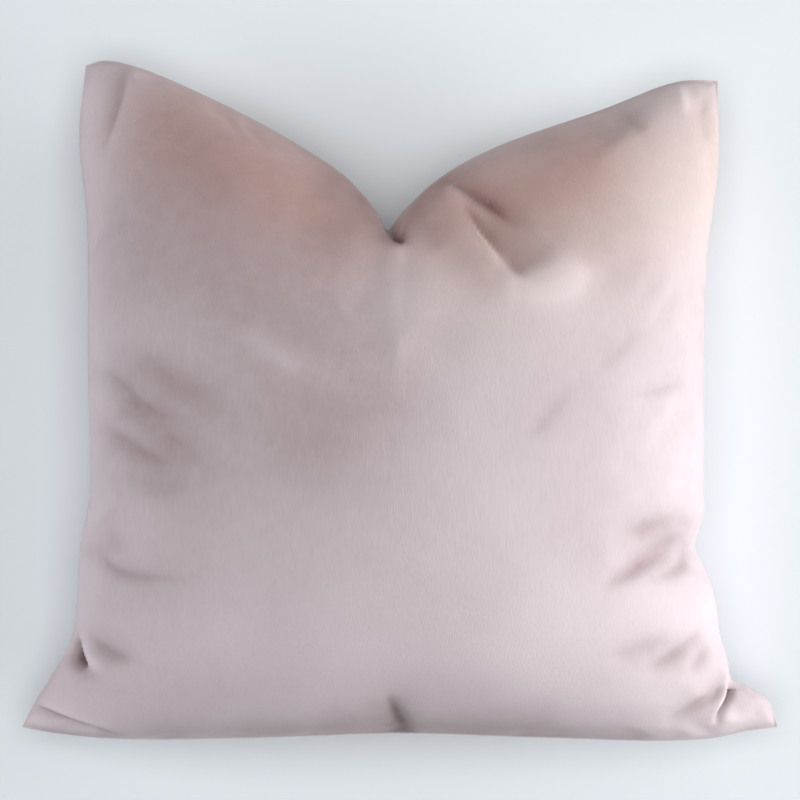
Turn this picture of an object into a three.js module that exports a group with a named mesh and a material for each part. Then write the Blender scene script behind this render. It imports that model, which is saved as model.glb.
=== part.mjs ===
// A square velvet cushion with its filling in it, lying on its back.
// Millimetres, +Z up. The face looks up +Z, and the dip chopped into the top edge points to +Y.
// The origin is under the middle of the cushion, on the surface it lies on.
import * as THREE from 'three';

// Driving sizes

const FACE_RISE = 78;          // crown of the front panel above the seam
const BACK_DROP = 122;         // what the back panel would hang below the seam if nothing held it
const FLAT_EASE = 7;           // how softly the back turns into the flat patch it lies on
const CROWN_CENTRE = -0.06;    // the fullest place, a little below the middle, on a scale of -1 to 1
const CROWN_POWER = 2.3;       // above 2 the crown is broader than an ellipse
const CORNER_THINNING = 0.42;  // how much flatter the corners are than the crown alone makes them
const CELLS = 48;              // cells along each side of a panel
const EDGE_CROWDING = 0.55;    // 0 spaces the cells evenly, 1 crowds them fully towards the seam
const SEAM_GRIP = 9;           // folds die out where the crown has risen less than this
const FOLD_LIMIT = 0.6;        // how deep a trough may cut, as a share of the crown's rise there
const FOLD_FADE = 0.75;        // how much of a fold is gone at its far end
const BOW_SOFTENING = 0.6;     // how fast the seam's bends smooth out away from it

// The knife-edge seam, one row for each place where it bends.
// Columns: x, y, height of the seam. The top edge is in two halves that meet in the chopped dip.

const SEAM = {
  bottom: [
    [-246, -213, 40], [-227, -216, 44], [-182, -219, 54], [-85, -217, 64], [-1, -214, 66],
    [91, -217, 64], [172, -220, 55], [205, -219, 47], [226, -215, 43], [246, -213, 40],
  ],
  right: [
    [246, -213, 40], [240, -196, 42], [226, -186, 46], [214, -181, 51], [212, -169, 54],
    [206, -150, 57], [204, -133, 60], [200, -118, 62], [194, -104, 63], [187, -94, 64],
    [192, -84, 65], [195, -72, 66], [195, -50, 67], [195, 10, 68], [197, 91, 66],
    [205, 150, 58], [206, 207, 48],
  ],
  left: [
    [-246, -213, 40], [-239, -199, 43], [-225, -177, 50], [-211, -150, 56], [-206, -96, 62],
    [-199, -60, 66], [-200, 20, 68], [-201, 114, 65], [-207, 170, 56], [-204, 217, 46],
  ],
  topLeft: [
    [-204, 217, 46], [-193, 220, 48], [-172, 216, 52], [-113, 190, 60], [-64, 163, 64],
    [-30, 139, 62], [-8, 108, 58],
  ],
  topRight: [
    [-8, 108, 58], [1, 120, 59], [23, 141, 62], [58, 161, 64], [130, 187, 60],
    [180, 206, 52], [206, 207, 48],
  ],
};

// Folds of the front panel: a soft trough or ridge along a bent line.
// Columns: name, from, by way of, to (x, y), reach to each side, rise (below 0 for a trough).

const FOLDS = [
  { name: 'swell under the dip', from: [-6, 99], by: [-7, 55], to: [-8, 8], reach: 31, rise: 20 },
  { name: 'lobe left of the dip', from: [-60, 118], by: [-90, 125], to: [-125, 140], reach: 36, rise: 4 },
  { name: 'lobe right of the dip', from: [60, 110], by: [100, 122], to: [140, 140], reach: 34, rise: 4 },
  { name: 'right ear, upper crease', from: [30, 141], by: [48, 130], to: [70, 118], reach: 9, rise: -6 },
  { name: 'right ear, ridge between', from: [38, 134], by: [52, 121], to: [74, 104], reach: 8, rise: 4 },
  { name: 'right ear, lower crease', from: [44, 121], by: [55, 105], to: [84, 83], reach: 11, rise: -9 },
  { name: 'right ear, ridge below', from: [35, 118], by: [48, 98], to: [66, 82], reach: 10, rise: 4 },
  { name: 'right ear, corner', from: [185, 204], by: [191, 188], to: [203, 168], reach: 7, rise: -5 },
  { name: 'left ear, corner', from: [-174, 213], by: [-187, 184], to: [-198, 150], reach: 7, rise: -5 },
  { name: 'left, high wrinkle', from: [-166, 25], by: [-148, 12], to: [-118, -4], reach: 9, rise: -4 },
  { name: 'left, first wrinkle', from: [-190, 17], by: [-178, 2], to: [-148, -11], reach: 8, rise: -6 },
  { name: 'left, second wrinkle', from: [-190, -21], by: [-174, -34], to: [-150, -38], reach: 8, rise: -6 },
  { name: 'left, third wrinkle', from: [-170, -52], by: [-162, -57], to: [-140, -56], reach: 9, rise: -3 },
  { name: 'left, low wrinkle', from: [-196, -98], by: [-191, -116], to: [-150, -116], reach: 8, rise: -6 },
  { name: 'left, low bulge', from: [-192, -84], by: [-168, -94], to: [-140, -97], reach: 9, rise: 3 },
  { name: 'lower left, pinch', from: [-211, -154], by: [-208, -165], to: [-203, -176], reach: 8, rise: -14 },
  { name: 'lower left, shade', from: [-200, -160], by: [-190, -166], to: [-174, -170], reach: 9, rise: -6 },
  { name: 'lower left, tab', from: [-236, -200], by: [-214, -208], to: [-186, -215], reach: 7, rise: -6 },
  { name: 'lower edge, tuck', from: [3, -215], by: [-3, -207], to: [-8, -196], reach: 8, rise: -8 },
  { name: 'right, high crescent', from: [152, -85], by: [172, -68], to: [194, -84], reach: 8, rise: -5 },
  { name: 'right, long crease', from: [134, -124], by: [159, -111], to: [177, -98], reach: 8, rise: -7 },
  { name: 'right, ridge', from: [166, -113], by: [176, -106], to: [184, -98], reach: 5, rise: 4 },
  { name: 'right, short crease', from: [169, -117], by: [186, -114], to: [188, -98], reach: 6, rise: -7 },
  { name: 'right, low wrinkle', from: [198, -154], by: [181, -171], to: [158, -178], reach: 8, rise: -6 },
  { name: 'lower right, trough', from: [211, -190], by: [198, -203], to: [174, -210], reach: 8, rise: -8 },
  { name: 'lower right, slot', from: [217, -188], by: [214, -198], to: [207, -210], reach: 7, rise: -12 },
];

// How the seam runs

const asCurve = (rows) => new THREE.CatmullRomCurve3(rows.map(([x, y, z]) => new THREE.Vector3(x, y, z)),
  false, 'centripetal');

// Each edge becomes a function of the share of its length, 0 to 1.
function edgeOf(...parts) {
  const curves = parts.map(asCurve);
  return (share) => {
    const place = THREE.MathUtils.clamp(share, 0, 1) * curves.length;
    const index = Math.min(Math.floor(place), curves.length - 1);
    return curves[index].getPointAt(place - index);
  };
}

const edges = {
  bottom: edgeOf(SEAM.bottom),
  top: edgeOf(SEAM.topLeft, SEAM.topRight),
  left: edgeOf(SEAM.left),
  right: edgeOf(SEAM.right),
};

// An edge's bow: how far it lies from the straight line between its two corners.
function bowOf(edge) {
  const start = edge(0);
  const end = edge(1);
  const samples = 160;
  const bows = [];
  for (let i = 0; i <= samples; i++) {
    bows.push(edge(i / samples).sub(start.clone().lerp(end, i / samples)));
  }
  return (share) => {
    const place = THREE.MathUtils.clamp(share, 0, 1) * samples;
    const index = Math.min(Math.floor(place), samples - 1);
    return bows[index].clone().lerp(bows[index + 1], place - index);
  };
}

const bows = Object.fromEntries(Object.entries(edges).map(([side, edge]) => [side, bowOf(edge)]));

// Away from its edge a bow is felt less, and its sharp bends are smoothed out.
function softBow(bow, share, distance) {
  const taps = 6;
  const spread = Math.min(distance * BOW_SOFTENING, share, 1 - share);
  const sum = new THREE.Vector3();
  let total = 0;
  for (let k = -taps; k <= taps; k++) {
    const weight = 1 - Math.abs(k) / (taps + 1);
    sum.addScaledVector(bow(share + spread * k / taps), weight);
    total += weight;
  }
  const fade = (1 - distance) ** 2 * (1 + 2 * distance);
  return sum.multiplyScalar(fade / total);
}

// The level surface stretched over the seam; a and b run from 0 to 1 across and up the panel.
function levelPoint(a, b) {
  const low = edges.bottom(0).lerp(edges.bottom(1), a);
  const high = edges.top(0).lerp(edges.top(1), a);
  return low.lerp(high, b)
    .add(softBow(bows.bottom, a, b))
    .add(softBow(bows.top, a, 1 - b))
    .add(softBow(bows.left, b, a))
    .add(softBow(bows.right, b, 1 - a));
}

// How the filling swells the panels

// 0 on the seam, 1 at the crown; s and t run from -1 to 1.
function fullness(s, t) {
  const along = 1 - Math.abs(s) ** CROWN_POWER;
  const lift = t - CROWN_CENTRE * (1 - t * t);
  const up = 1 - Math.abs(lift) ** CROWN_POWER;
  const corner = 1 - CORNER_THINNING * Math.abs(s * t) ** 3;
  return Math.sqrt(Math.max(along, 0) * Math.max(up, 0)) * corner;
}

// The height that the folds add at a place on the face. Each fold's line is a curve through three places.
function foldRise(x, y) {
  const steps = 12;
  let rise = 0;
  for (const fold of FOLDS) {
    let nearest = Infinity;
    let share = 0;
    for (let i = 0; i <= steps; i++) {
      const u = i / steps;
      const v = 1 - u;
      const px = v * v * fold.from[0] + 2 * v * u * fold.by[0] + u * u * fold.to[0];
      const py = v * v * fold.from[1] + 2 * v * u * fold.by[1] + u * u * fold.to[1];
      const gap = Math.hypot(x - px, y - py);
      if (gap < nearest) {
        nearest = gap;
        share = u;
      }
    }
    const along = 1 - FOLD_FADE * share * share;
    rise += fold.rise * along * Math.exp(-((nearest / fold.reach) ** 2));
  }
  return rise;
}

// Heights under the flat ease turn smoothly into 0, the surface that the cushion lies on.
function restOnFlat(height) {
  if (height >= FLAT_EASE) return height;
  if (height <= -FLAT_EASE) return 0;
  return (height + FLAT_EASE) ** 2 / (4 * FLAT_EASE);
}

// A trough never cuts deeper than this share of the crown's own rise there.
function heldByFilling(fold, rise) {
  const limit = FOLD_LIMIT * rise;
  if (fold >= 0 || limit <= 0) return fold;
  return -limit * (1 - Math.exp(fold / limit));
}

function panelPoint(s, t, isFace) {
  const point = levelPoint((s + 1) / 2, (t + 1) / 2);
  const full = fullness(s, t);
  if (isFace) {
    const rise = FACE_RISE * full;
    const grip = 1 - Math.exp(-((rise / SEAM_GRIP) ** 2));
    point.z += rise + grip * heldByFilling(foldRise(point.x, point.y), rise);
  } else {
    point.z = restOnFlat(point.z - BACK_DROP * full);
  }
  return point;
}

// The closed form: two panels of square cells that share the points of the seam.
function cushionGeometry() {
  const positions = [];
  const faces = [];
  const spaced = (i) => {
    const even = 2 * i / CELLS - 1;
    return (1 - EDGE_CROWDING) * even + EDGE_CROWDING * Math.sin(even * Math.PI / 2);
  };
  const grid = (isFace, shared) => {
    const rows = [];
    for (let j = 0; j <= CELLS; j++) {
      const row = [];
      for (let i = 0; i <= CELLS; i++) {
        const onSeam = i === 0 || j === 0 || i === CELLS || j === CELLS;
        if (shared && onSeam) {
          row.push(shared[j][i]);
        } else {
          row.push(positions.length / 3);
          positions.push(...panelPoint(spaced(i), spaced(j), isFace).toArray());
        }
      }
      rows.push(row);
    }
    return rows;
  };
  const front = grid(true, null);
  const back = grid(false, front);
  for (let j = 0; j < CELLS; j++) {
    for (let i = 0; i < CELLS; i++) {
      // Each cell is cut along the diagonal that runs out to its corner of the cushion.
      const rising = (i < CELLS / 2) === (j < CELLS / 2);
      for (const [rows, isFace] of [[front, true], [back, false]]) {
        const [a, b, c, d] = [rows[j][i], rows[j][i + 1], rows[j + 1][i + 1], rows[j + 1][i]];
        const halves = rising ? [[a, b, c], [a, c, d]] : [[a, b, d], [b, c, d]];
        for (const [p, q, r] of halves) faces.push(...(isFace ? [p, q, r] : [p, r, q]));
      }
    }
  }
  const geometry = new THREE.BufferGeometry();
  geometry.setAttribute('position', new THREE.Float32BufferAttribute(positions, 3));
  geometry.setIndex(faces);
  geometry.computeBoundingBox();
  const centre = geometry.boundingBox.getCenter(new THREE.Vector3());
  geometry.translate(-centre.x, -centre.y, -geometry.boundingBox.min.z);
  geometry.computeVertexNormals();
  return geometry;
}

// Dusty pink plush velvet, with a soft, dull nap
const velvet = new THREE.MeshStandardMaterial({ color: 0xc9b4b5, roughness: 0.85, metalness: 0 });

const cushion = new THREE.Mesh(cushionGeometry(), velvet);
cushion.name = 'cushion_cover';

const object = new THREE.Group();
object.name = 'cushion';
object.add(cushion);

export default object;
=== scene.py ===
import math

import bpy
import numpy as np
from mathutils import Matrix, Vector
from mathutils.kdtree import KDTree


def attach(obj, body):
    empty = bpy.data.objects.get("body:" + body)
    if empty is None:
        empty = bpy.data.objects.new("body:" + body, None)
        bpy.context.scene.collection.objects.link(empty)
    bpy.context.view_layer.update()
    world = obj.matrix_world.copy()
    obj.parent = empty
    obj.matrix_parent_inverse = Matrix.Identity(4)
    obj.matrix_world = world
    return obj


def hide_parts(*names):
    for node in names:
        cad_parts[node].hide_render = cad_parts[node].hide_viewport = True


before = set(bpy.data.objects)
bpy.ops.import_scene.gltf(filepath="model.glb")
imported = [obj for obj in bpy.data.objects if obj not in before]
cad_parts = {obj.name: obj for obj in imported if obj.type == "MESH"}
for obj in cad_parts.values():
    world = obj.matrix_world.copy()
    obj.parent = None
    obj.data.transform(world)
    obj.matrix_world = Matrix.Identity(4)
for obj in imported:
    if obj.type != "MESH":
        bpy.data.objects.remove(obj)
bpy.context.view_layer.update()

# The camera
# A long lens straight above the cushion as it lies on its back, so that its face is seen square on.
LENS_HEIGHT = 1.75          # metres above the surface
SEAM_HEIGHT = 0.056         # where the outline of the cushion lies, on average
VIEW_WIDTH = 0.514          # what the frame takes in at the height of the seam
SENSOR = 36.0
FURTHEST_SEEN = 20

lens = bpy.data.cameras.new("camera")
lens.sensor_width = SENSOR
lens.lens = SENSOR * (LENS_HEIGHT - SEAM_HEIGHT) / VIEW_WIDTH
lens.clip_end = FURTHEST_SEEN
camera = bpy.data.objects.new("camera", lens)
camera.location = (0, 0, LENS_HEIGHT)
bpy.context.scene.collection.objects.link(camera)
bpy.context.scene.camera = camera

# The filled cover
# Two square panels of plush velvet, sewn face to face all round, turned and filled with feathers.
# It was plumped, and a blow of the hand's edge then chopped the dip into its top edge.
PANEL_CELLS = 110           # cells along each side of a panel, before one subdivision
SEAM_CROWDING = 0.4         # share of each half in which the cells narrow towards the seam
FACE_RISE = 78              # crown of the front panel above the seam, in millimetres
BACK_DROP = 122             # what the back panel would hang below the seam if nothing held it
FLAT_EASE = 7               # how softly the back turns into the flat patch it lies on
CROWN_CENTRE = -0.06        # the fullest place, a little below the middle
CROWN_POWER = 2.3           # 2 is round from side to side, more is flatter on top
EDGE_POWER = 0.52           # 0.5 rolls fully over at the seam, more leaves a sharper edge there
CORNER_THINNING = 0.42      # share of their height that the corners lose
SEAM_GRIP = 6               # folds and settling die out where the crown has risen less than this
SEAM_TAKE = 0.004           # share of its width that the cover loses where its edge is turned
BOW_SOFTENING = 0.6         # its bends are smoothed over this share of the way in from it
SEAM_STEPS = 161            # places along each side of the seam
DRAWING_HEIGHT = 0.036      # filling, folds and strokes are placed as the lens sees them at this height

# Where the seam bends, in millimetres. Columns: x, y, height.
SEAM_BOTTOM = [
    (-246, -213, 40), (-227, -216, 44), (-182, -219, 54), (-85, -217, 64), (-1, -214, 66),
    (91, -217, 64), (172, -220, 55), (205, -219, 47), (226, -215, 43), (246, -213, 40)]
SEAM_RIGHT = [
    (246, -213, 40), (240, -196, 42), (226, -186, 46), (214, -181, 51), (212, -169, 54),
    (206, -150, 57), (204, -133, 60), (200, -118, 62), (194, -104, 63), (189, -94, 64),
    (192, -84, 65), (195, -72, 66), (195, -50, 67), (195, 10, 68), (197, 91, 66),
    (205, 150, 58), (206, 207, 48)]
SEAM_LEFT = [
    (-246, -213, 40), (-239, -199, 43), (-225, -177, 50), (-211, -150, 56), (-206, -96, 62),
    (-199, -60, 66), (-200, 20, 68), (-201, 114, 65), (-207, 170, 56), (-204, 217, 46)]
SEAM_TOP_LEFT = [
    (-204, 217, 46), (-193, 220, 48), (-172, 216, 52), (-113, 190, 60), (-64, 163, 64),
    (-30, 139, 62), (-8, 108, 58)]
SEAM_TOP_RIGHT = [
    (-8, 108, 58), (1, 120, 59), (23, 141, 62), (58, 161, 64), (130, 187, 60),
    (180, 206, 52), (206, 207, 48)]

# Where the filling pushes the front panel out or leaves it slack, in millimetres.
# Columns: from, by way of, to, reach, lift
FILLING = [
    ((-6, 99), (-7, 55), (-8, 8), 33, 24),                # what the blow pushed out under the dip
    ((-9, 108), (-9, 86), (-9, 64), 8, 10),               # right below the dip, where it is tightest
    ((-70, 112), (-86, 80), (-84, 20), 34, -5),           # left of that
]

# Folds of the front panel, each along a curve from its start past a middle place, in millimetres.
# rise lifts or sinks the line itself. roll lifts its left side, as seen on the way, and sinks the
# right. Both die out over reach and towards the ends, and within edge of the line they are rounded off.
# Columns: from, by way of, to, reach, rise, roll, edge
FACE_FOLDS = [
    ((-2, 97), (-2, 60), (-1, 10), 14, 2.2, 0, 1.5),      # taut crest that runs down from the dip
    ((-23, 128), (-12, 105), (7, 98), 3, 2.5, 0, 1),      # lip in front of the dip's pocket
    ((-8, 112), (-3, 105), (4, 103), 3.2, -7, 0, 1.5),    # the pocket
    ((-91, 40), (-67, 21), (-34, 8), 8, 1, 0, 5),         # low ridge on the left of the face
    ((30, 142), (52, 130), (77, 113), 7, -2.2, -2.1, 2.8),  # right ear, upper crease
    ((52, 131), (62, 123), (73, 117), 5, -1.7, -1, 3.5),  # where it ends
    ((34, 137), (48, 127), (62, 115), 2.5, 3.5, 0, 1.5),  # right ear, ridge between the creases
    ((44, 122), (54, 102), (80, 80), 7, -1.6, -3.3, 2.5),  # right ear, lower crease
    ((69, 83), (84, 85), (99, 101), 9, -3.8, -1, 6),       # right ear, where the crease widens
    ((78, 77), (98, 75), (136, 90), 14, 2.3, 0, 6),       # crest under the right ear
    ((38, 129), (48, 108), (66, 86), 4, 1.6, 0, 2),       # right ear, ridge left of it
    ((15, 118), (21, 108), (27, 98), 7, -1.7, 0, 5),      # right ear, dimple
    ((147, 188), (152, 182), (158, 174), 4, -2, 0, 2),    # right ear, ripple at the seam
    ((181, 205), (183, 196), (186, 186), 4, 2, 0, 2),     # right ear, ridge in the corner
    ((198, 196), (196, 182), (200, 168), 4, -2, 0, 2),    # right ear, beside the corner
    ((-177, 214), (-182, 190), (-193, 162), 6, -1.7, 2.3, 2),  # left ear, where its corner turns
    ((-190, 17), (-179, 5), (-169, -3), 5, -3.2, 1.2, 3),  # left side, first wrinkle
    ((-178, -4), (-164, -8), (-145, -11), 5, -3.2, 0.6, 3),
    ((-169, 27), (-154, 16), (-113, -4), 10, -3.4, 1, 6),
    ((-188, -20), (-177, -31), (-156, -39), 5.5, -3.4, 1.4, 3.2),  # left side, second wrinkle
    ((-168, -39), (-158, -40), (-145, -39), 5, -1.6, 0, 3),
    ((-159, -19), (-147, -25), (-127, -41), 7.5, -2.7, 0.8, 5),
    ((-174, -52), (-158, -58), (-135, -57), 9, -2.4, 0, 4),
    ((-190, -86), (-188, -93), (-181, -100), 4, -1.8, 0, 2.5),
    ((-205, -95), (-204, -99), (-202, -104), 2.5, -1.6, 0, 2),
    ((-195, -98), (-193, -118), (-143, -116), 3.8, -2.6, 1.2, 2),  # left side, low curved wrinkle
    ((-213, -159), (-213, -167), (-206, -176), 3, -12, 0, 2.2),  # lower left, the pinch
    ((-207, -155), (-203, -165), (-197, -177), 2, 6, 0, 1.2),  # its thin ridge
    ((-204, -157), (-192, -167), (-174, -171), 4, -4.4, 0, 2.5),  # shade beside it
    ((-209, -179), (-202, -181), (-194, -181), 2.5, -1, 0, 2),
    ((-238, -198), (-214, -208), (-185, -217), 4, 0, 3.6, 1),  # step above the left corner tab
    ((-242, -197), (-214, -209), (-180, -219), 1.4, -2.6, 0, 1),
    ((1, -212), (-4, -202), (-9, -192), 4, -3.6, 0, 2.5),  # tuck in the middle of the lower edge
    ((152, -86), (164, -86), (177, -77), 4.8, -3.3, 0, 4),  # right side, high crescent
    ((180, -78), (187, -81), (195, -87), 4, -1.3, 0, 3),
    ((177, -96), (160, -108), (132, -125), 5, -4.6, 1.5, 2.6),  # right side, long crease
    ((187, -98), (187, -111), (167, -117), 3.5, -2.7, 1, 2.4),  # right side, short crease
    ((168, -158), (152, -165), (134, -168), 5.5, -2.3, 0, 3),
    ((195, -156), (181, -169), (161, -178), 4, -4, 1.3, 2.2),  # right side, low wrinkle
    ((200, -163), (198, -173), (188, -178), 3.5, -2.8, 0.8, 2.5),
    ((181, 9), (170, 4), (154, 2), 4, -1.3, 0.9, 2),
    ((150, 38), (142, 28), (130, 20), 5, -0.8, 0.6, 4),
    ((106, -2), (95, -14), (84, -26), 7, -0.9, 0.6, 4),
    ((213, -186), (197, -205), (171, -212), 4.6, -4.3, 1.8, 2.6),  # trough above the right corner tab
    ((213, -178), (212, -192), (205, -202), 1.6, 4.5, 0, 1),  # lip over the slot
    ((209, -212), (221, -203), (232, -197), 3, 0.6, 0, 1.5),
    ((217, -187), (213, -198), (206, -210), 0.9, -7.5, 0, 1),  # slot between the body and the tab
    ((216, -185), (224, -187), (232, -193), 3.5, -2.2, 0, 2),  # shade at the top of the tab
]
DEEPEST_SHARE = 0.4         # a fold is deepest this far along
END_FADE = 2.2              # how fast it fades from there towards its ends


def smooth_line(rows, count):
    """Places at even steps along a smooth curve through the rows (centripetal Catmull-Rom)."""
    steps_between_rows = 40
    knots = np.array(rows, float)
    knots = np.vstack([2 * knots[0] - knots[1], knots, 2 * knots[-1] - knots[-2]])
    dense = []
    for a, b, c, d in zip(knots, knots[1:], knots[2:], knots[3:]):
        before, here, after = (math.sqrt(np.linalg.norm(q - p)) for p, q in ((a, b), (b, c), (c, d)))
        leave = ((b - a) / before - (c - a) / (before + here) + (c - b) / here) * here
        arrive = ((c - b) / here - (d - b) / (here + after) + (d - c) / after) * here
        t = np.linspace(0, 1, steps_between_rows)[:, None]
        dense.append(b + leave * t + (3 * (c - b) - 2 * leave - arrive) * t ** 2
                     + (2 * (b - c) + leave + arrive) * t ** 3)
    dense = np.vstack(dense)
    steps = np.linalg.norm(np.diff(dense, axis=0), axis=1)
    length = np.concatenate([[0], np.cumsum(steps)])
    even = np.linspace(0, length[-1], count)
    return np.column_stack([np.interp(even, length, dense[:, axis]) for axis in range(3)])


def bow_of(line):
    """How far each place of a line lies from the straight line between its ends."""
    return line - line[0] - np.linspace(0, 1, len(line))[:, None] * (line[-1] - line[0])


def soft_bow(bow, share, distance):
    """A seam's bow as the cloth feels it some way in: fainter, with its sharp bends smoothed."""
    taps = 6
    spread = np.minimum(distance * BOW_SOFTENING, np.minimum(share, 1 - share))
    total = np.zeros(share.shape + (3,))
    weights = 0
    for tap in range(-taps, taps + 1):
        weight = 1 - abs(tap) / (taps + 1)
        place = (share + spread * tap / taps) * (len(bow) - 1)
        for axis in range(3):
            total[..., axis] += weight * np.interp(place, np.arange(len(bow)), bow[:, axis])
        weights += weight
    fade = (1 - distance) ** 2 * (1 + 2 * distance)
    return total * (fade / weights)[..., None]


bottom = smooth_line(SEAM_BOTTOM, SEAM_STEPS)
right = smooth_line(SEAM_RIGHT, SEAM_STEPS)
left = smooth_line(SEAM_LEFT, SEAM_STEPS)
top = np.vstack([smooth_line(SEAM_TOP_LEFT, SEAM_STEPS // 2 + 1),
                 smooth_line(SEAM_TOP_RIGHT, SEAM_STEPS // 2 + 1)[1:]])
bows = {name: bow_of(line) for name, line in
        (("bottom", bottom), ("right", right), ("left", left), ("top", top))}


def level_surface(s, t):
    """The surface stretched over the seam. s and t run from -1 to 1 across and up the panel."""
    a, b = (s + 1) / 2, (t + 1) / 2
    low = bottom[0] + a[..., None] * (bottom[-1] - bottom[0])
    high = top[0] + a[..., None] * (top[-1] - top[0])
    return (low + b[..., None] * (high - low)
            + soft_bow(bows["bottom"], a, b) + soft_bow(bows["top"], a, 1 - b)
            + soft_bow(bows["left"], b, a) + soft_bow(bows["right"], b, 1 - a))


def fullness(s, t):
    """0 on the seam, 1 at the crown."""
    lift = t - CROWN_CENTRE * (1 - t * t)
    across = np.clip(1 - np.abs(s) ** CROWN_POWER, 0, 1)
    up = np.clip(1 - np.abs(lift) ** CROWN_POWER, 0, 1)
    return (across * up) ** EDGE_POWER * (1 - CORNER_THINNING * np.abs(s * t) ** 3)


def beside_curve(points, start, middle, end):
    """For each point, as the lens sees it: how far the curve is, how far left of it, and how far along."""
    pieces = 16
    nearness = (LENS_HEIGHT - DRAWING_HEIGHT) / (LENS_HEIGHT - points[..., 2:] / 1000)
    seen = points[..., :2] * nearness
    u = np.linspace(0, 1, pieces + 1)[:, None]
    line = (1 - u) ** 2 * np.array(start) + 2 * u * (1 - u) * np.array(middle) + u * u * np.array(end)
    near = np.full(points.shape[:-1], np.inf)
    side = np.zeros_like(near)
    share = np.zeros_like(near)
    for piece, (here, there) in enumerate(zip(line, line[1:])):
        step = there - here
        offset = seen - here
        done = np.clip(offset @ step / (step @ step), 0, 1)
        gap = np.hypot(offset[..., 0] - done * step[0], offset[..., 1] - done * step[1])
        left_of = (step[0] * offset[..., 1] - step[1] * offset[..., 0]) / np.linalg.norm(step)
        closer = gap < near
        near = np.where(closer, gap, near)
        side = np.where(closer, left_of, side)
        share = np.where(closer, (piece + done) / pieces, share)
    return near, side, share


def fold_height(points, folds):
    """How far the folds lift the cloth at each point, measured along the cloth's own facing."""
    height = np.zeros(points.shape[:-1])
    for start, middle, end, reach, rise, roll, edge in folds:
        near, side, share = beside_curve(points, start, middle, end)
        flank = np.exp((edge - np.hypot(near, edge)) / reach)
        strength = 1 - END_FADE * (share - DEEPEST_SHARE) ** 2
        height += flank * strength * (rise + roll * np.tanh(side / edge))
    return height


def filling_lift(points):
    """How far the filling lifts the panel at each point, straight up."""
    lift = np.zeros(points.shape[:-1])
    for start, middle, end, reach, height in FILLING:
        near, _, share = beside_curve(points, start, middle, end)
        lift += height * np.exp(-(near / reach) ** 2) * (1 - share)
    return lift


def rest_on_flat(height):
    """Heights under the flat ease turn smoothly into 0, the surface that the cushion lies on."""
    eased = (height + FLAT_EASE) ** 2 / (4 * FLAT_EASE)
    return np.where(height >= FLAT_EASE, height, np.where(height <= -FLAT_EASE, 0, eased))


# Each panel is a grid of cells that run from -1 to 1 both ways and narrow towards the seam.
even = np.linspace(-1, 1, PANEL_CELLS + 1)
inward = 1 - np.abs(even)
inward = np.where(inward < SEAM_CROWDING, inward ** 2 / (2 * SEAM_CROWDING), inward - SEAM_CROWDING / 2)
spaced = np.sign(even) * (1 - inward / (1 - SEAM_CROWDING / 2))
s_grid, t_grid = np.meshgrid(spaced, spaced)
full = fullness(s_grid, t_grid)
level = level_surface(s_grid, t_grid) * (1 - SEAM_TAKE, 1 - SEAM_TAKE, 1)

face = level + full[..., None] * np.array((0, 0, FACE_RISE))
grip = 1 - np.exp(-(full * FACE_RISE / SEAM_GRIP) ** 2)
face[..., 2] += grip * filling_lift(face)

back = level.copy()
back[..., 2] = rest_on_flat(level[..., 2] - BACK_DROP * full)

# One mesh: the front grid, then the inside of the back grid, which shares the seam's places.
count = PANEL_CELLS + 1
front_ids = np.arange(count * count).reshape(count, count)
back_ids = front_ids.copy()
back_ids[1:-1, 1:-1] = count * count + np.arange((count - 2) ** 2).reshape(count - 2, count - 2)
places = np.vstack([face.reshape(-1, 3), back[1:-1, 1:-1].reshape(-1, 3)]) / 1000


def cells_of(ids):
    """The four corners of every cell between the rows and columns of a grid of vertices."""
    return np.stack([ids[:-1, :-1], ids[:-1, 1:], ids[1:, 1:], ids[1:, :-1]], axis=-1).reshape(-1, 4)


cells = np.vstack([cells_of(front_ids), cells_of(back_ids)[:, ::-1]])
mesh = bpy.data.meshes.new("velvet_cover")
mesh.from_pydata(places.tolist(), [], cells.tolist())
mesh.update()
cover = bpy.data.objects.new("velvet_cover", mesh)
bpy.context.scene.collection.objects.link(cover)

# The cloth settles on its filling. Only the seam and the patch that lies on the surface stay put.
SETTLING_FRAMES = 20
FILLING_PRESSURE = 3
SPARE_CLOTH = 0.022         # where it is slackest, each panel is this much larger than its form
LEAST_SLACK = 0.05          # share of the spare cloth that lies everywhere
FURTHEST_MOVE = 0.010
TINIEST_MOVE = 1e-9         # keeps the division below from meeting 0

# Where the cloth is slack, in millimetres. Columns: from, by way of, to, reach, share of the spare cloth
SLACK = [
    ((-195, 60), (-195, 0), (-200, -70), 45, 1.0),      # left side
    ((195, 0), (190, -60), (205, -160), 45, 1.0),       # right side
    ((-190, 190), (-140, 180), (-90, 165), 30, 0.6),    # left ear
    ((90, 150), (140, 170), (190, 190), 35, 0.7),       # right ear
]


def slackness(points):
    """The share of the spare cloth that lies at each point."""
    most = np.full(points.shape[:-1], LEAST_SLACK)
    for start, middle, end, reach, share in SLACK:
        near = beside_curve(points, start, middle, end)[0]
        most = np.maximum(most, share * np.exp(-(near / reach) ** 2))
    return most


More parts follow.
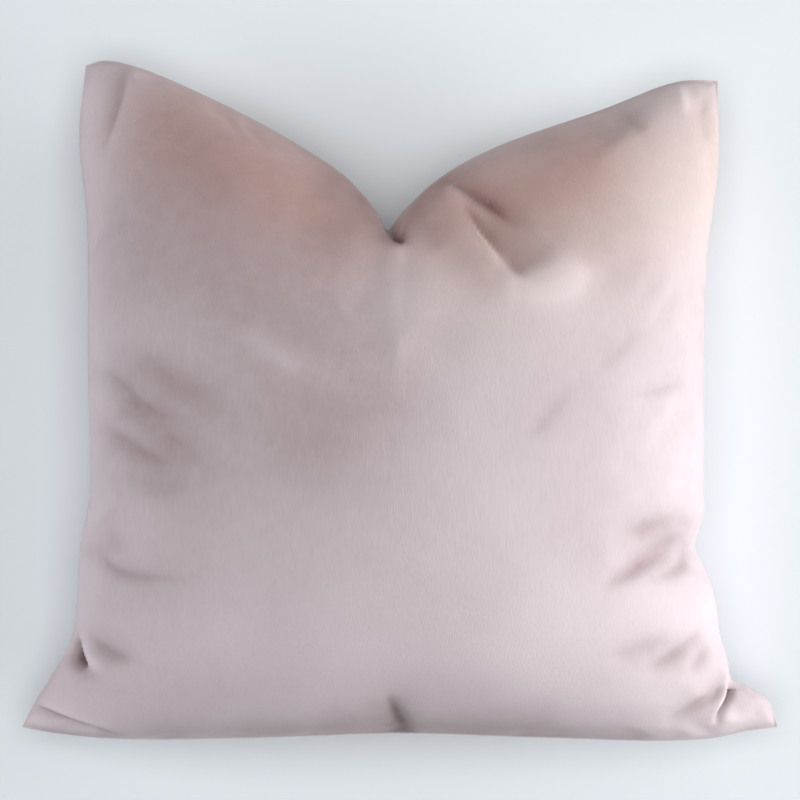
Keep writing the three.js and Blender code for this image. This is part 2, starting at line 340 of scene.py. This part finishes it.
on_seam = np.setdiff1d(front_ids, front_ids[1:-1, 1:-1])
held = cover.vertex_groups.new(name="held")
lying = np.flatnonzero(places[:, 2] <= 0)
held.add(np.union1d(on_seam, lying).tolist(), 1, "REPLACE")
taut = cover.vertex_groups.new(name="taut")
for index, slack in enumerate(slackness(places * 1000)):
    taut.add([index], 1 - slack, "REPLACE")
cloth = cover.modifiers.new("settling", "CLOTH")
cloth.settings.quality = 6
cloth.settings.mass = 0.3
cloth.settings.tension_stiffness = 15
cloth.settings.compression_stiffness = 15
cloth.settings.shear_stiffness = 5
cloth.settings.bending_stiffness = 0.5
cloth.settings.use_pressure = True
cloth.settings.uniform_pressure_force = FILLING_PRESSURE
cloth.settings.vertex_group_mass = held.name
cloth.settings.vertex_group_shrink = taut.name
cloth.settings.shrink_min = -SPARE_CLOTH
cloth.settings.shrink_max = 0
cloth.settings.effector_weights.gravity = 0
cloth.collision_settings.use_collision = False
cloth.point_cache.frame_start = 1
cloth.point_cache.frame_end = SETTLING_FRAMES
for frame_number in range(1, SETTLING_FRAMES + 1):
    bpy.context.scene.frame_set(frame_number)
settled = cover.evaluated_get(bpy.context.evaluated_depsgraph_get())
moved = np.zeros(len(places) * 3)
settled.data.vertices.foreach_get("co", moved)
moved = moved.reshape(-1, 3) - places
distance = np.maximum(np.linalg.norm(moved, axis=1), TINIEST_MOVE)[:, None]
free = np.concatenate([grip.ravel(), grip[1:-1, 1:-1].ravel()])[:, None]
places += free * moved / distance * FURTHEST_MOVE * np.tanh(distance / FURTHEST_MOVE)
places[:, 2] = np.maximum(places[:, 2], 0)
cover.modifiers.remove(cloth)
cover.vertex_groups.clear()
cover.data.vertices.foreach_set("co", places.ravel())
cover.data.update()
bpy.context.scene.frame_set(1)

# Two marks that the finer cells carry over: how freely the front panel folds, and where the seam runs.
marks = {"grip": np.zeros(len(places)), "sewn": np.zeros(len(places))}
marks["grip"][:grip.size] = grip.ravel()
marks["sewn"][on_seam] = 1
for name, values in marks.items():
    cover.data.attributes.new(name, "FLOAT", "POINT").data.foreach_set("value", values)

fine = cover.modifiers.new("finer cells", "SUBSURF")
fine.levels = fine.render_levels = 1
with bpy.context.temp_override(object=cover, active_object=cover, selected_objects=[cover]):
    bpy.context.view_layer.objects.active = cover
    bpy.ops.object.modifier_apply(modifier=fine.name)
cover.data.polygons.foreach_set("use_smooth", [True] * len(cover.data.polygons))



def taken_off(name):
    """The values of a mark, which is taken off the mesh."""
    values = np.zeros(len(cover.data.vertices))
    cover.data.attributes[name].data.foreach_get("value", values)
    cover.data.attributes.remove(cover.data.attributes[name])
    return values


# The creases, pressed into the settled cloth now that its cells are fine enough for them.
places = np.zeros(len(cover.data.vertices) * 3)
facing = np.zeros_like(places)
cover.data.vertices.foreach_get("co", places)
cover.data.vertex_normals.foreach_get("vector", facing)
places = places.reshape(-1, 3) * 1000
creases = taken_off("grip") * fold_height(places, FACE_FOLDS)

# The stitches draw both panels in beside the seam, which leaves its edge standing as a fine ridge.
RIDGE_HEIGHT = 0.8
RIDGE_SIDE = 1.6            # from the top of the ridge to its foot
SEWN = 0.6                  # the finer cells blur the mark, and beside the seam it lies below this
seam_places = np.flatnonzero(taken_off("sewn") > SEWN)
nearest_sewn = KDTree(len(seam_places))
for index in seam_places:
    nearest_sewn.insert(places[index], int(index))
nearest_sewn.balance()
from_seam = np.array([nearest_sewn.find(spot)[2] for spot in places])
drawn_in = RIDGE_HEIGHT * from_seam / RIDGE_SIDE * np.exp(1 - from_seam / RIDGE_SIDE)
creased = places + (creases - drawn_in)[:, None] * facing.reshape(-1, 3)
creased[:, 2] = np.maximum(creased[:, 2], 0)
cover.data.vertices.foreach_set("co", creased.ravel() / 1000)
cover.data.update()


def linear(hex_colour):
    """An sRGB hex colour as the linear colour that a shader takes."""
    parts = [int(hex_colour[i:i + 2], 16) / 255 for i in (1, 3, 5)]
    return tuple(p / 12.92 if p <= 0.04045 else ((p + 0.055) / 1.055) ** 2.4 for p in parts) + (1,)


# Where the cover is painted deeper and warmer, or paler and cooler, in millimetres: partly the pile stroked
# another way, mostly painted shade and painted highlight where the light falls, and painted warm light.
# Columns: from, by way of, to, reach, depth (below 0 is paler), rose, cream
NAP_AND_PAINTED_LIGHT_STROKES = [
    # Painted shade on both ears, which tilt away from the light, partly the pile stroked up, with a painted
    # warm tint.
    ((-145, 168), (-105, 160), (-30, 122), 42, 0.23, 0, 0),  # left ear
    ((-142, 176), (-97, 152), (-42, 122), 38, 0, 0.85, 0.6),
    ((58, 122), (90, 128), (140, 160), 36, 0.19, 0, 0),  # right ear
    ((34, 124), (75, 130), (117, 153), 32, 0, 0.9, 0),
    # Painted warm light over the upper right.
    ((60, 110), (130, 130), (200, 150), 65, 0, 0, 0.95),
    # Painted shade along the right ear's seam and on both sides of the dip.
    ((26, 138), (55, 160), (100, 170), 7, 0.08, 0, 0),  # where it turns over at its seam
    ((2, 106), (9, 128), (26, 142), 6, 0.25, 0, 0),      # both sides of the dip
    ((-9, 104), (-16, 117), (-23, 129), 5, 0.2, 0, 0),
    # A painted highlight right below the dip.
    ((0, 97), (1, 94), (2, 91), 3, -0.14, 0, 0),        # right below the dip
    ((-8, 75), (-2, 50), (2, 5), 22, 0.1, 0, 0),
    ((85, 105), (120, 105), (150, 115), 20, 0.1, 0, 0),
    # A painted highlight in a band under the right ear.
    ((80, 77), (100, 74), (112, 78), 12, -0.27, 0, 0),   # pale band under the right ear
    ((130, 84), (140, 82), (150, 84), 18, 0.16, 0, 0),
    ((42, 86), (52, 80), (56, 72), 9, 0.08, 0, 0),
    ((60, 55), (65, 30), (60, 0), 22, -0.05, 0, 0),
    ((120, 40), (160, 60), (190, 60), 35, 0.05, 0, 0),
    ((95, -10), (115, -45), (125, -75), 35, 0.06, 0, 0),
    ((150, -140), (175, -148), (195, -148), 22, -0.08, 0, 0),
    ((-8, 40), (16, 40), (30, 44), 14, 0.07, 0, 0),
    # Painted shade over the left half of the face, the side turned from the windows.
    ((-150, 100), (-70, 70), (-50, -8), 60, 0.32, 0.1, 0),  # left half of the face
    ((-140, -20), (-135, -60), (-145, -115), 38, 0.13, 0, 0),
    # A painted highlight, a sheen, where the left side turns away.
    ((-203, 195), (-199, 20), (-214, -160), 13, -0.16, 0, 0),  # paler where the left side turns away
    ((-98, 42), (-84, 32), (-70, 22), 7, -0.1, 0, 0),
    # Painted light low on the face and along the lower edge, as if thrown up from below.
    ((-120, -160), (-20, -175), (90, -165), 40, -0.1, 0, 0),  # low on the face
    ((-190, -206), (-120, -204), (-60, -206), 12, -0.1, 0, 0),
    ((110, -206), (150, -204), (190, -208), 12, -0.1, 0, 0),
    ((-240, -209), (-215, -212), (-200, -216), 4, -0.2, 0, 0),  # on the left corner tab
    ((222, -206), (231, -205), (238, -208), 6, -0.07, 0, 0),  # on the right one
    # Painted shade where the face turns under along the lower edge, and at the tuck above it.
    ((-150, -225), (0, -221), (150, -225), 14, 0.3, 0, 0),  # where the face turns under along the lower edge
    ((-95, -225), (0, -221), (95, -225), 15, 0.22, 0, 0),
    ((-40, -225), (0, -221), (50, -225), 16, 0.16, 0, 0),
    ((-14, -198), (-5, -205), (4, -214), 7, 0.15, 0, 0),
]
UNTOUCHED_PILE = 0.2        # how deep the pile looks where nothing stroked it
ROSE_PILE_AND_WARM_LIGHT = "#ffe8e3"       # the rose of brushed-up pile and of painted warm light
# A painted warm light, cream.
PAINTED_WARM_LIGHT = "#fffaef"
CREASE_SHADE = 0.1          # painted shade: how much deeper the pile is painted for each millimetre that a crease or the seam's foot sinks

# Painted shade in the creases and beside the seam, added to the strokes.
pile_and_shade_depth_at = UNTOUCHED_PILE - CREASE_SHADE * (creases - drawn_in)
pile_and_warm_light_tint_at = np.ones((len(places), 4))
for start, middle, end, reach, deeper, rose, cream in NAP_AND_PAINTED_LIGHT_STROKES:
    stroked = np.exp(-(beside_curve(places, start, middle, end)[0] / reach) ** 2)
    pile_and_shade_depth_at += deeper * stroked
    pile_and_warm_light_tint_at *= np.array(linear(ROSE_PILE_AND_WARM_LIGHT)) ** (rose * stroked[:, None])
    pile_and_warm_light_tint_at *= np.array(linear(PAINTED_WARM_LIGHT)) ** (cream * stroked[:, None])
cover.data.attributes.new("nap_depth", "FLOAT", "POINT").data.foreach_set("value", pile_and_shade_depth_at)
cover.data.attributes.new("nap_tint", "FLOAT_COLOR", "POINT").data.foreach_set("color", pile_and_warm_light_tint_at.ravel())

# Plush velvet: a short cut pile on a woven ground. It is matt face on and catches light where it turns
# away.
velvet = bpy.data.materials.new("cut_pile_velvet")
velvet.use_nodes = True
tree = velvet.node_tree
tree.nodes.clear()


def node(kind, settings=None, links=None):
    """Adds a node. settings go on the node or its sockets, links join other nodes' outputs to them."""
    made = tree.nodes.new(kind)
    for name, value in (settings or {}).items():
        if isinstance(name, int) or name in made.inputs:
            made.inputs[name].default_value = value
        else:
            setattr(made, name, value)
    for name, source in (links or {}).items():
        tree.links.new(source, made.inputs[name])
    return made


STREAK_WIDTH = 0.0009       # tufts lean together in rows, drawn about three tufts wide so that they show
STREAK_LENGTH = 0.009
STROKE_WIDTH = 0.055        # a hand's stroke
MOTTLE_WIDTH = 0.011        # a fingertip's touch
PILE_RELIEF = 0.00025       # how much longer some tufts stand
# From pale pile to deep; the deep end also shows the painted shade.
PILE_AND_SHADE_COLOURS = [(0, "#d6cacf"), (0.5, "#b0a2a5"), (0.68, "#a89698"), (1, "#7a686a")]
MOTTLE_SHOWS = 0.35         # how much the patches, the strokes and the streaks deepen the pile
STROKE_SHOWS = 0.15
STREAK_SHOWS = 0.18

place = node("ShaderNodeTexCoord")


def patches(width, length, detail):
    """Noise with patches of this width across the cover and this length along the nap, around 0."""
    scaled = node("ShaderNodeMapping", {"Scale": (1 / width, 1 / length, 1 / width)},
                  {"Vector": place.outputs["Object"]})
    noise = node("ShaderNodeTexNoise", {"Scale": 1, "Detail": detail}, {"Vector": scaled.outputs["Vector"]})
    return node("ShaderNodeMath", {"operation": "SUBTRACT", 1: 0.5}, {0: noise.outputs["Fac"]}).outputs[0]


def plus(base, source, weight):
    """base with the source added to it, times its weight."""
    return node("ShaderNodeMath", {"operation": "MULTIPLY_ADD", 1: weight}, {0: source, 2: base}).outputs[0]


streaks = patches(STREAK_WIDTH, STREAK_LENGTH, 2)
# The depth carries painted shade and painted highlight as well as the pile's own patches and streaks.
depth = node("ShaderNodeAttribute", {"attribute_name": "nap_depth"}).outputs["Fac"]
mottled = node("ShaderNodeMath", {"operation": "MULTIPLY"},
               {0: depth, 1: patches(MOTTLE_WIDTH, MOTTLE_WIDTH, 3)})
depth = plus(depth, mottled.outputs[0], MOTTLE_SHOWS)
depth = plus(depth, patches(STROKE_WIDTH, STROKE_WIDTH, 2), STROKE_SHOWS)
depth = plus(depth, streaks, STREAK_SHOWS)
pile_and_shade_colour = node("ShaderNodeValToRGB", {}, {0: depth})
ramp = pile_and_shade_colour.color_ramp.elements
for at, _ in PILE_AND_SHADE_COLOURS[1:-1]:
    ramp.new(at)
for stop, (at, colour) in zip(ramp, PILE_AND_SHADE_COLOURS):
    stop.position = at
    stop.color = linear(colour)
nap_tint = node("ShaderNodeAttribute", {"attribute_name": "nap_tint"})
tint = node("ShaderNodeMix", {"data_type": "RGBA", "blend_type": "MULTIPLY", 0: 1},
            {6: pile_and_shade_colour.outputs["Color"], 7: nap_tint.outputs["Color"]})
relief = node("ShaderNodeBump", {"Strength": 0.5, "Distance": PILE_RELIEF}, {"Height": streaks})
pile = node("ShaderNodeBsdfPrincipled", {
    "Roughness": 0.9, "Specular IOR Level": 0.15, "Sheen Weight": 0.35, "Sheen Roughness": 0.3,
    "Sheen Tint": linear("#f6f2f6")}, {"Base Color": tint.outputs[2], "Normal": relief.outputs["Normal"]})
node("ShaderNodeOutputMaterial", {}, {"Surface": pile.outputs["BSDF"]})
cover.data.materials.append(velvet)

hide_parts("cushion_cover")
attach(cover, "root")

# The surface it lies on
# A plain pale top, wide enough to fill the view from any side.
FLOOR_SIDE = 6.0
bpy.ops.mesh.primitive_plane_add(size=FLOOR_SIDE, location=(0, 0, 0))
floor = bpy.context.object
floor.name = "floor"
paint = bpy.data.materials.new("pale_floor")
paint.use_nodes = True
floor.data.materials.append(paint)
painted = paint.node_tree.nodes["Principled BSDF"]
painted.inputs["Base Color"].default_value = linear("#e5ebef")
painted.inputs["Roughness"].default_value = 0.9

# The light
# Windows to the right of the cushion and beyond its right ear, with a pale ceiling and a pale wall on the
# left that give some of their light back.
AIM_HEIGHT = 0.08           # the lights look at a place inside the cushion, this far above the surface
bpy.context.scene.view_settings.view_transform = "Standard"
world = bpy.data.worlds.new("room")
world.use_nodes = True
world.node_tree.nodes["Background"].inputs["Color"].default_value = linear("#f0f2f6")
world.node_tree.nodes["Background"].inputs["Strength"].default_value = 0.08
bpy.context.scene.world = world


def window(name, place, size, power, colour):
    """A soft area light that looks at the cushion."""
    glow = bpy.data.lights.new(name, "AREA")
    glow.shape = "RECTANGLE"
    glow.size, glow.size_y = size
    glow.energy = power
    glow.color = linear(colour)[:3]
    holder = bpy.data.objects.new(name, glow)
    holder.location = place
    aim = Vector((0, 0, AIM_HEIGHT)) - Vector(place)
    holder.rotation_euler = aim.to_track_quat("-Z", "Y").to_euler()
    bpy.context.scene.collection.objects.link(holder)


window("ceiling", (0, 0, 2.6), (2.2, 2.2), 45, "#ffffff")
window("low_window", (2.6, -0.3, 0.4), (1.6, 0.6), 57, "#ffffff")
window("window", (2.4, -0.2, 0.8), (1.6, 1.2), 22, "#ffffff")
window("far_window", (1.7, 1.6, 1.3), (1.6, 1.6), 10, "#ffffff")
window("pale_wall", (-2.3, 0, 0.8), (1.6, 1.2), 22, "#f4f6fa")
